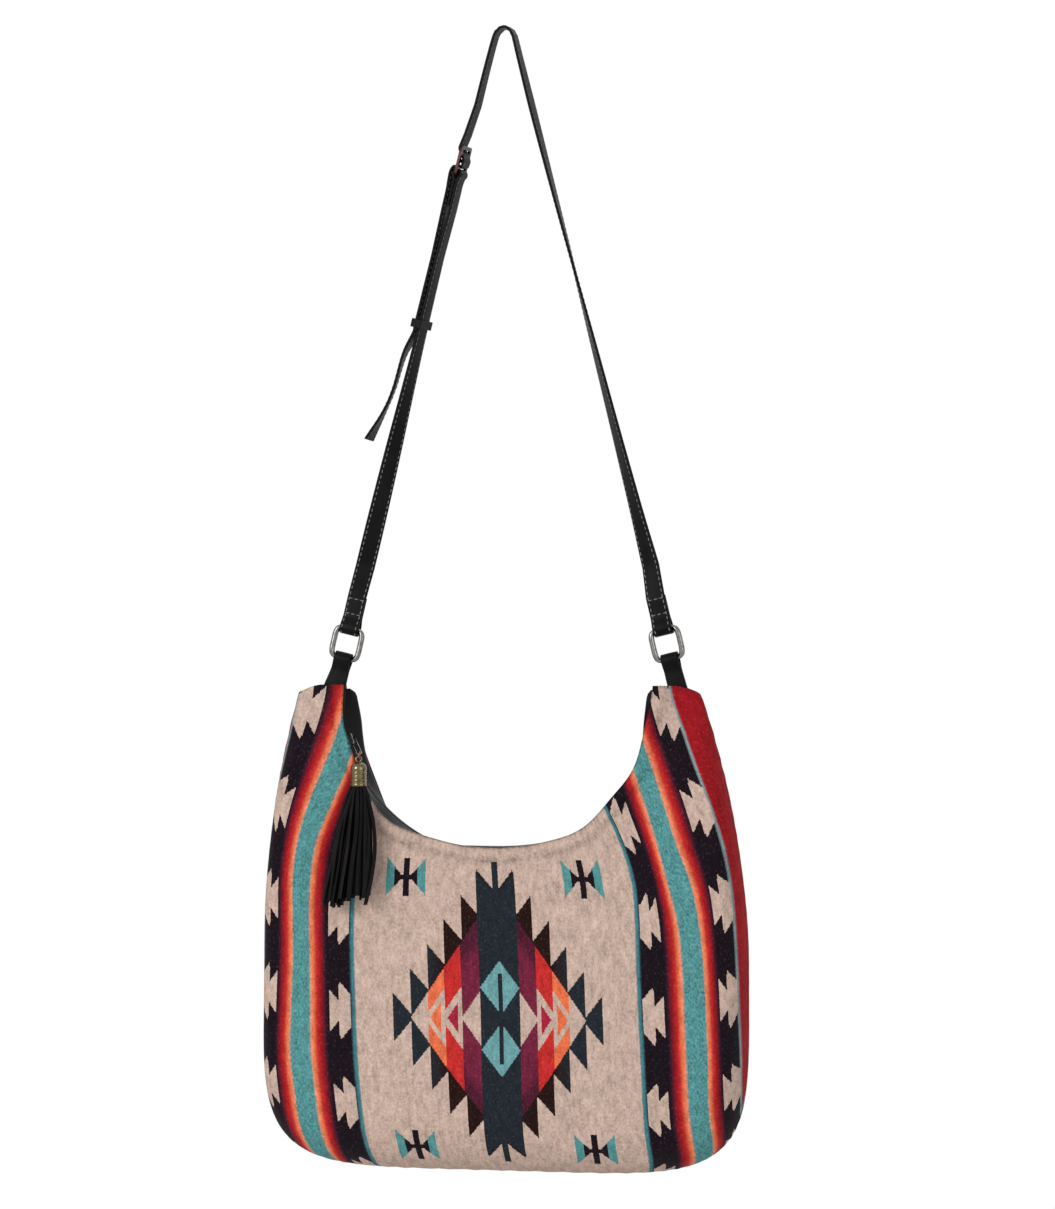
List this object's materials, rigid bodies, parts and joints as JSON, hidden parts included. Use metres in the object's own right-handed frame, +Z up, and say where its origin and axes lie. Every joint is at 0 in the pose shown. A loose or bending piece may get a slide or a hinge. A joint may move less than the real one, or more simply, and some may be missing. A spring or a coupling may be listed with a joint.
{
  "type": "crossbody bag",
  "caption": "Slouchy zip-topped crossbody bag of patterned woven cloth, with a deep scooped top, a tassel on the zip pull and a long adjustable leather strap on two oval rings.",
  "frame": {"origin": "where the inner face of the long strap rests on a peg or a shoulder, at the top of the strap", "axes": "+Z up along the hanging strap, -Y out of the bag's front, +X to the right seen from the front"},
  "size_m": [0.393, 0.0928, 0.9152],
  "materials": {
    "cloth": "woven wool-like jacquard cloth, patterned",
    "lining": "plain black lining cloth",
    "zip_tape": "black woven zip tape",
    "zip_coil": "dark nylon coil",
    "leather": "black grained leather, pale stitches",
    "nickel": "polished nickel plate",
    "copper": "coppery wire",
    "brass": "polished pale brass",
    "bronze": "dark bronze plate"
  },
  "bodies": {
    "strap": {"long_strap": "leather", "short_strap": "leather", "strap_slide": "bronze", "strap_keeper": "leather"},
    "left_ring_body": {"left_ring": "nickel"},
    "right_ring_body": {"right_ring": "nickel"},
    "bag": {"front_panel": "cloth", "back_panel": "cloth", "front_lining": "lining", "back_lining": "lining", "front_zip_tape": "zip_tape", "back_zip_tape": "zip_tape", "front_zip_coil": "zip_coil", "back_zip_coil": "zip_coil", "zip_top_stop": "nickel", "zip_bottom_stop": "nickel", "left_chape": "leather", "right_chape": "leather"},
    "slider": {"zip_slider": "nickel"},
    "pull": {"zip_pull": "nickel"},
    "link": {"pull_link": "copper"},
    "tassel": {"tassel_cap": "brass", "tassel_fringe": "leather"}
  },
  "joints": [
    {"name": "left_ring_swing", "type": "hinge", "parent": "strap", "child": "left_ring_body", "pos_m": [-0.12906, 0, -0.47975], "axis": [1, 0, 0], "range_deg": [-30, 30]},
    {"name": "right_ring_swing", "type": "hinge", "parent": "strap", "child": "right_ring_body", "pos_m": [0.12906, 0, -0.47975], "axis": [1, 0, 0], "range_deg": [-30, 30]},
    {"name": "bag_swing", "type": "hinge", "parent": "left_ring_body", "child": "bag", "pos_m": [-0.13494, 0, -0.50425], "axis": [1, 0, 0], "range_deg": [-30, 30]},
    {"name": "zip_travel", "type": "hinge", "parent": "bag", "child": "slider", "pos_m": [-0.006, 0, -0.529], "axis": [0, -1, 0], "range_deg": [0, 142]},
    {"name": "pull_lift", "type": "hinge", "parent": "slider", "child": "pull", "pos_m": [-0.12735, 0, -0.56843], "axis": [0.9011, 0.3198, 0.2928], "range_deg": [-50, 0]},
    {"name": "link_swing", "type": "hinge", "parent": "pull", "child": "link", "pos_m": [-0.11322, -0.02911, -0.58015], "axis": [0.9667, 0.2173, -0.1351], "range_deg": [-70, 0]},
    {"name": "tassel_sway", "type": "hinge", "parent": "link", "child": "tassel", "pos_m": [-0.11349, -0.03022, -0.58387], "axis": [0, -1, 0], "range_deg": [-20, 20]}
  ],
  "couplings": [
    {"joint": "right_ring_swing", "follows": "left_ring_swing", "ratio": 1}
  ]
}
